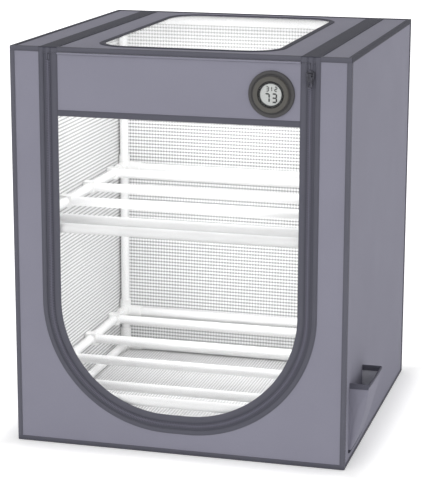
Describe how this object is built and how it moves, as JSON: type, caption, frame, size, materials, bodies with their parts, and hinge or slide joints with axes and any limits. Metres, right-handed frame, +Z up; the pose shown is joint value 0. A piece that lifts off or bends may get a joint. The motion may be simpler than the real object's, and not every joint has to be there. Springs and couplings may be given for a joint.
{
  "type": "filament dryer box",
  "caption": "Zipped grey cloth storage box on a white tube frame, with a clear front flap and roof window, a round humidity gauge, rails inside for reels and a side pocket.",
  "frame": {"origin": "middle of the base on the surface that the box stands on", "axes": "+Z up; the zipped flap faces -Y; the gauge and the pocket are towards +X"},
  "size_m": [0.4758, 0.4558, 0.536],
  "materials": {
    "grey_cloth": "matt woven cloth",
    "binding": "matt woven tape",
    "dark_binding": "matt woven tape",
    "zip_tape": "matt woven tape",
    "zip_teeth": "satin moulded",
    "lining": "silvered foil with a fine grid",
    "clear_film": "clear flexible film",
    "white_tube": "white, satin",
    "white_fitting": "white, satin",
    "grommet_rubber": "matt",
    "gauge_plastic": "satin black",
    "gauge_lens": "clear",
    "display": "pale grey liquid crystal",
    "board": "laminate",
    "cell_steel": "bright",
    "zip_metal": "dark enamel"
  },
  "bodies": {
    "case": {"front_panel": "grey_cloth", "rear_panel": "grey_cloth", "left_panel": "grey_cloth", "right_panel": "grey_cloth", "top_panel": "grey_cloth", "base_panel": "grey_cloth", "pocket_pouch": "grey_cloth", "front_lining": "lining", "rear_lining": "lining", "left_lining": "lining", "right_lining": "lining", "top_lining": "lining", "base_lining": "lining", "top_binding_front": "binding", "top_binding_rear": "binding", "top_binding_left": "binding", "top_binding_right": "binding", "base_binding_front": "binding", "base_binding_rear": "binding", "base_binding_left": "binding", "base_binding_right": "binding", "corner_binding_front_left": "binding", "corner_binding_front_right": "binding", "corner_binding_rear_left": "binding", "corner_binding_rear_right": "binding", "case_zip_facing": "binding", "top_band_left": "binding", "top_band_right": "binding", "top_window_binding": "dark_binding", "pocket_rim": "dark_binding", "case_zip_tape": "zip_tape", "case_zip_teeth": "zip_teeth", "top_window": "clear_film", "frame_posts": "white_tube", "top_tubes": "white_tube", "base_tubes": "white_tube", "upper_shelf_tubes": "white_tube", "lower_shelf_tubes": "white_tube", "upper_rails": "white_tube", "lower_rails": "white_tube", "top_connectors": "white_fitting", "base_connectors": "white_fitting", "shelf_connectors": "white_fitting", "rail_blocks": "white_fitting"},
    "flap": {"flap_panel": "grey_cloth", "flap_window": "clear_film", "flap_hem": "dark_binding", "flap_hinge_bead": "binding", "flap_zip_facing": "binding", "flap_zip_tape": "zip_tape", "flap_zip_teeth": "zip_teeth", "gauge_grommet": "grommet_rubber", "gauge_housing": "gauge_plastic", "gauge_lens": "gauge_lens", "gauge_display": "display", "gauge_board": "board", "gauge_cells": "cell_steel", "gauge_back_cover": "gauge_plastic"},
    "slider": {"zip_slider": "zip_metal"},
    "pull_tab": {"zip_pull_tab": "zip_metal"}
  },
  "joints": [
    {"name": "flap_hinge", "type": "hinge", "parent": "case", "child": "flap", "pos_m": [0, -0.2251, 0.5278], "axis": [-1, 0, 0], "range_deg": [0, 165]},
    {"name": "slider_run", "type": "slide", "parent": "flap", "child": "slider", "axis": [0, 0, -1], "range_m": [0, 0.29]},
    {"name": "pull_tab_hinge", "type": "hinge", "parent": "slider", "child": "pull_tab", "pos_m": [0.17275, -0.2292, 0.514], "axis": [-1, 0, 0], "range_deg": [0, 110]}
  ]
}
